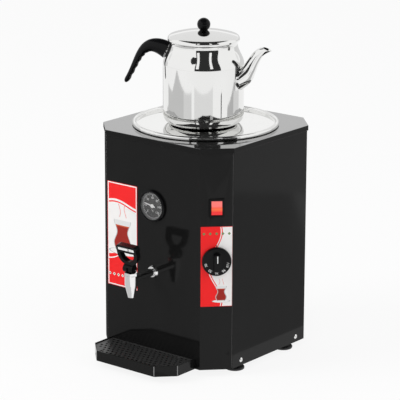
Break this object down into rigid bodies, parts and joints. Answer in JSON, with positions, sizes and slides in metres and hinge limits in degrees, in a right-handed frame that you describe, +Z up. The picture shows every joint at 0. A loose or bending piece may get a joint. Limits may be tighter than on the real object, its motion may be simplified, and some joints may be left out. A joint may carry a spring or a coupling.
{
  "type": "tea urn",
  "caption": "Eight-sided electric tea urn with a lever tap, thermometer, thermostat knob, rocker switch, drip tray and a steel teapot on a warming pan.",
  "frame": {"origin": "middle of the footprint's bounding box, on the counter", "axes": "+Z up, the tap faces -Y, +X to the right as seen by a person in front of the tap"},
  "size_m": [0.2848, 0.3564, 0.5782],
  "materials": {
    "black_paint": "high-gloss black",
    "base_paint": "satin black",
    "polished_steel": "mirror-polished stainless steel",
    "plain_steel": "plain stainless steel",
    "chrome_plate": "bright chrome plating",
    "brass": "bare brass",
    "black_plastic": "glossy black moulding",
    "dull_plastic": "dull black moulding",
    "red_plastic": "glossy red moulding",
    "red_print": "red printed film with white marks",
    "white_print": "white printed film with red artwork",
    "white_plastic": "white moulding",
    "glass": "clear",
    "silicone": "soft silicone",
    "wool": "mineral wool"
  },
  "bodies": {
    "urn": {"front_panel": "black_paint", "rear_panel": "black_paint", "side_panel_right": "black_paint", "side_panel_left": "black_paint", "top_cover": "black_paint", "base_pan": "base_paint", "tray_runners": "base_paint", "panel_screws": "polished_steel", "foot_nuts": "polished_steel", "tank": "plain_steel", "tank_posts": "plain_steel", "heating_element": "plain_steel", "tap_spring": "plain_steel", "tap_body": "chrome_plate", "tap_flange": "chrome_plate", "tap_bonnet": "chrome_plate", "tap_nuts": "brass", "heater_nuts": "brass", "gauge_stem": "brass", "thermostat_bulb": "brass", "switch_housing": "black_plastic", "gauge_bezel": "black_plastic", "cable_gland": "dull_plastic", "gland_nut": "dull_plastic", "gauge_case": "dull_plastic", "gauge_dial": "dull_plastic", "safety_cutout": "dull_plastic", "control_plate": "red_print", "front_label": "white_print", "terminal_block": "white_plastic", "thermostat": "white_plastic", "gauge_glass": "glass", "tap_washers": "silicone", "insulation_jacket": "wool"},
    "tap_stem": {"tap_stem": "chrome_plate", "tap_seal": "silicone", "lever_pin": "chrome_plate"},
    "tap_lever": {"tap_lever": "black_plastic", "lever_inlay": "white_plastic"},
    "control_knob": {"control_knob": "black_plastic", "thermostat_shaft": "plain_steel"},
    "switch_rocker": {"switch_rocker": "red_plastic"},
    "gauge_pointer": {"gauge_pointer": "white_plastic"},
    "drip_tray": {"drip_tray": "black_paint"},
    "tray_grid": {"tray_grid": "black_paint"},
    "pot_pan": {"pot_pan": "polished_steel", "pan_rim": "polished_steel"},
    "teapot": {"pot_body": "polished_steel", "pot_base": "polished_steel", "pot_spout": "polished_steel", "pot_handle": "black_plastic", "handle_bracket": "plain_steel"},
    "teapot_lid": {"pot_lid": "polished_steel", "lid_ring": "polished_steel", "lid_knob": "black_plastic", "lid_knob_screw": "polished_steel"},
    "foot_front_left": {"foot_front_left": "dull_plastic"},
    "foot_front_right": {"foot_front_right": "dull_plastic"},
    "foot_rear_left": {"foot_rear_left": "dull_plastic"},
    "foot_rear_right": {"foot_rear_right": "dull_plastic"}
  },
  "joints": [
    {"name": "tap_stem_lift", "type": "slide", "parent": "urn", "child": "tap_stem", "axis": [0, 0, 1], "range_m": [0, 0.0031], "stiffness_N_per_m": 1500, "deforming": ["tap_spring"]},
    {"name": "tap_lever_tilt", "type": "hinge", "parent": "tap_stem", "child": "tap_lever", "pos_m": [0, -0.1605, 0.1828], "axis": [1, 0, 0], "range_deg": [0, 45]},
    {"name": "knob_turn", "type": "hinge", "parent": "urn", "child": "control_knob", "pos_m": [0.12075, -0.08475, 0.203], "axis": [-0.7071, 0.7071, 0], "range_deg": [0, 270]},
    {"name": "rocker_tip", "type": "hinge", "parent": "urn", "child": "switch_rocker", "pos_m": [0.12075, -0.08475, 0.294], "axis": [0.7071, 0.7071, 0], "range_deg": [0, 18]},
    {"name": "gauge_pointer_swing", "type": "hinge", "parent": "urn", "child": "gauge_pointer", "pos_m": [0, -0.109, 0.28], "axis": [0, 1, 0], "range_deg": [-57, 213]},
    {"name": "drip_tray_slide", "type": "slide", "parent": "urn", "child": "drip_tray", "axis": [0, -1, 0], "range_m": [0, 0.085]},
    {"name": "tray_grid_lift", "type": "slide", "parent": "drip_tray", "child": "tray_grid", "axis": [0, 0, 1], "range_m": [0, 0.04]},
    {"name": "pot_pan_lift", "type": "slide", "parent": "urn", "child": "pot_pan", "axis": [0, 0, 1], "range_m": [0, 0.06]},
    {"name": "teapot_lift", "type": "slide", "parent": "pot_pan", "child": "teapot", "axis": [0, 0, 1], "range_m": [0, 0.15]},
    {"name": "teapot_lid_lift", "type": "slide", "parent": "teapot", "child": "teapot_lid", "axis": [0, 0, 1], "range_m": [0, 0.08]},
    {"name": "foot_front_left_turn", "type": "hinge", "parent": "urn", "child": "foot_front_left", "pos_m": [-0.12, -0.032, 0], "axis": [0, 0, 1], "range_deg": [0, 360]},
    {"name": "foot_rear_left_turn", "type": "hinge", "parent": "urn", "child": "foot_rear_left", "pos_m": [-0.12, 0.104, 0], "axis": [0, 0, 1], "range_deg": [0, 360]},
    {"name": "foot_front_right_turn", "type": "hinge", "parent": "urn", "child": "foot_front_right", "pos_m": [0.12, -0.032, 0], "axis": [0, 0, 1], "range_deg": [0, 360]},
    {"name": "foot_rear_right_turn", "type": "hinge", "parent": "urn", "child": "foot_rear_right", "pos_m": [0.12, 0.104, 0], "axis": [0, 0, 1], "range_deg": [0, 360]}
  ],
  "couplings": [
    {"joint": "tap_lever_tilt", "follows": "tap_stem_lift", "rad_per_m": 253.3}
  ]
}
